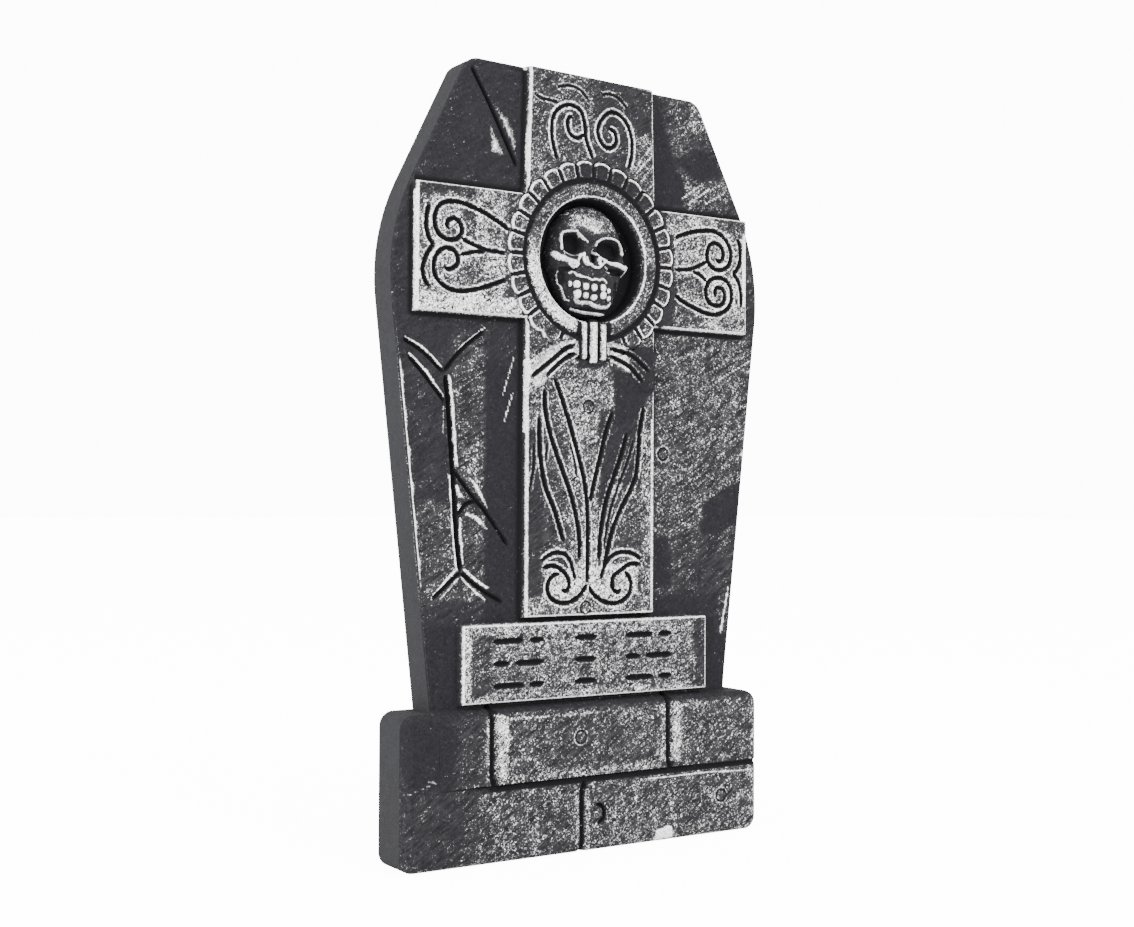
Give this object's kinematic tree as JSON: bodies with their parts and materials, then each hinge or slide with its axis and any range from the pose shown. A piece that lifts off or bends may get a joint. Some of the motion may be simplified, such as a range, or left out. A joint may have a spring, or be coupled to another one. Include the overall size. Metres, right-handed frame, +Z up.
{
  "type": "moulded foam cross headstone",
  "caption": "Coffin-shaped moulded headstone with a raised cross, a skull medallion, scrollwork and a block base; stands upright by itself.",
  "frame": {"origin": "centre of the bounding box's bottom, on the surface it stands on", "axes": "+Z up, -Y is the carved front, +X to the right when seen from the front"},
  "size_m": [0.317, 0.039, 0.5598],
  "materials": {
    "painted_foam": "dark grey paint on moulded foam, dry-brushed white on the raised edges"
  },
  "bodies": {
    "root": {"headstone": "painted_foam"}
  },
  "joints": []
}
